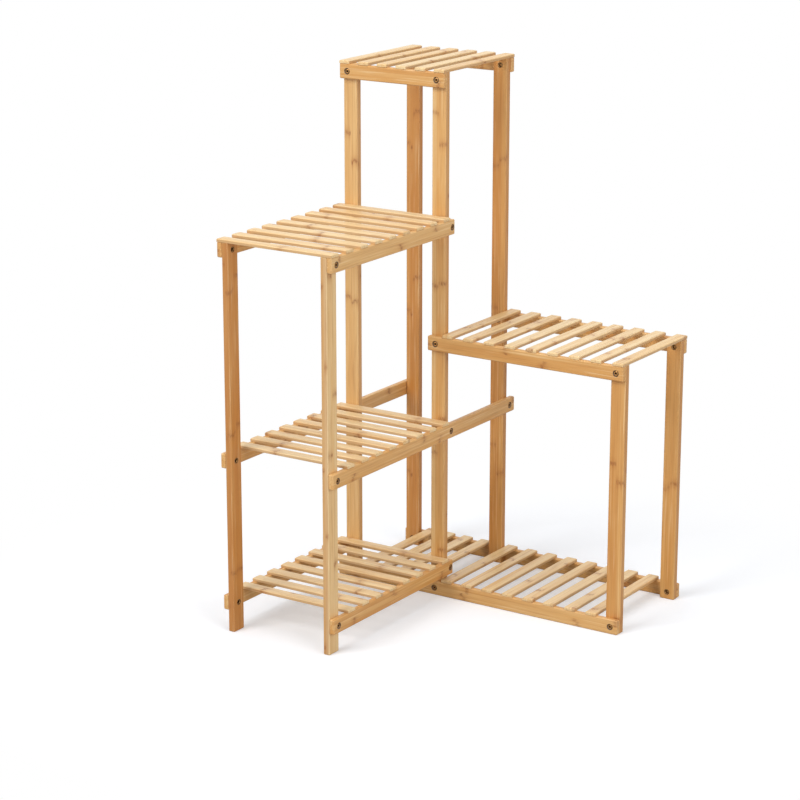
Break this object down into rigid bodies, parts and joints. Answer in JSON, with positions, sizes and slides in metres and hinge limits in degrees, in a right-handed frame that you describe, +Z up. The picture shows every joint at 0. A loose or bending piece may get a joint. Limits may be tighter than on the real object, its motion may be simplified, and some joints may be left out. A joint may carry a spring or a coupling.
{
  "type": "tiered plant stand",
  "caption": "L-shaped corner plant stand of slatted bamboo decks: a tall square tower with stepped decks on two wings, rails bolted to upright posts.",
  "frame": {"origin": "on the floor, at the middle of the square that the stand takes up", "axes": "+Z up; the left wing runs to -Y from the tower in the back left corner, the right wing to +X"},
  "size_m": [0.62, 0.62, 1.01],
  "materials": {
    "bamboo_post": "satin lacquer",
    "bamboo_rail": "satin lacquer",
    "bamboo_slat": "satin lacquer",
    "steel": "nickel plated, dark",
    "zinc": "yellow zinc plated"
  },
  "bodies": {
    "root": {"left_bottom_rail_left": "bamboo_rail", "left_bottom_rail_right": "bamboo_rail", "left_bottom_slats": "bamboo_slat", "left_middle_rail_left": "bamboo_rail", "left_middle_rail_right": "bamboo_rail", "left_middle_slat_1": "bamboo_slat", "left_middle_slat_2": "bamboo_slat", "left_middle_slat_3": "bamboo_slat", "left_middle_slat_4": "bamboo_slat", "left_middle_slat_5": "bamboo_slat", "left_middle_slat_6": "bamboo_slat", "left_middle_slat_7": "bamboo_slat", "left_middle_slat_8": "bamboo_slat", "left_top_rail_left": "bamboo_rail", "left_top_rail_right": "bamboo_rail", "left_top_slat_1": "bamboo_slat", "left_top_slat_2": "bamboo_slat", "left_top_slat_3": "bamboo_slat", "left_top_slat_4": "bamboo_slat", "left_top_slat_5": "bamboo_slat", "left_top_slat_6": "bamboo_slat", "left_top_slat_7": "bamboo_slat", "left_top_slat_8": "bamboo_slat", "left_top_slat_9": "bamboo_slat", "left_wing_post_left": "bamboo_post", "left_wing_post_right": "bamboo_post", "long_bolts": "steel", "right_bottom_rail_back": "bamboo_rail", "right_bottom_rail_front": "bamboo_rail", "right_bottom_slats": "bamboo_slat", "right_top_rail_back": "bamboo_rail", "right_top_rail_front": "bamboo_rail", "right_top_slat_1": "bamboo_slat", "right_top_slat_2": "bamboo_slat", "right_top_slat_3": "bamboo_slat", "right_top_slat_4": "bamboo_slat", "right_top_slat_5": "bamboo_slat", "right_top_slat_6": "bamboo_slat", "right_top_slat_7": "bamboo_slat", "right_top_slat_8": "bamboo_slat", "right_top_slat_9": "bamboo_slat", "right_wing_post_back": "bamboo_post", "right_wing_post_front": "bamboo_post", "short_bolts": "steel", "threaded_inserts": "zinc", "tower_floor_slats": "bamboo_slat", "tower_post_back_left": "bamboo_post", "tower_post_back_right": "bamboo_post", "tower_post_front_left": "bamboo_post", "tower_post_front_right": "bamboo_post", "tower_top_rail_back": "bamboo_rail", "tower_top_rail_front": "bamboo_rail", "tower_top_slat_1": "bamboo_slat", "tower_top_slat_2": "bamboo_slat", "tower_top_slat_3": "bamboo_slat", "tower_top_slat_4": "bamboo_slat", "tower_top_slat_5": "bamboo_slat", "tower_top_slat_6": "bamboo_slat"}
  },
  "joints": []
}
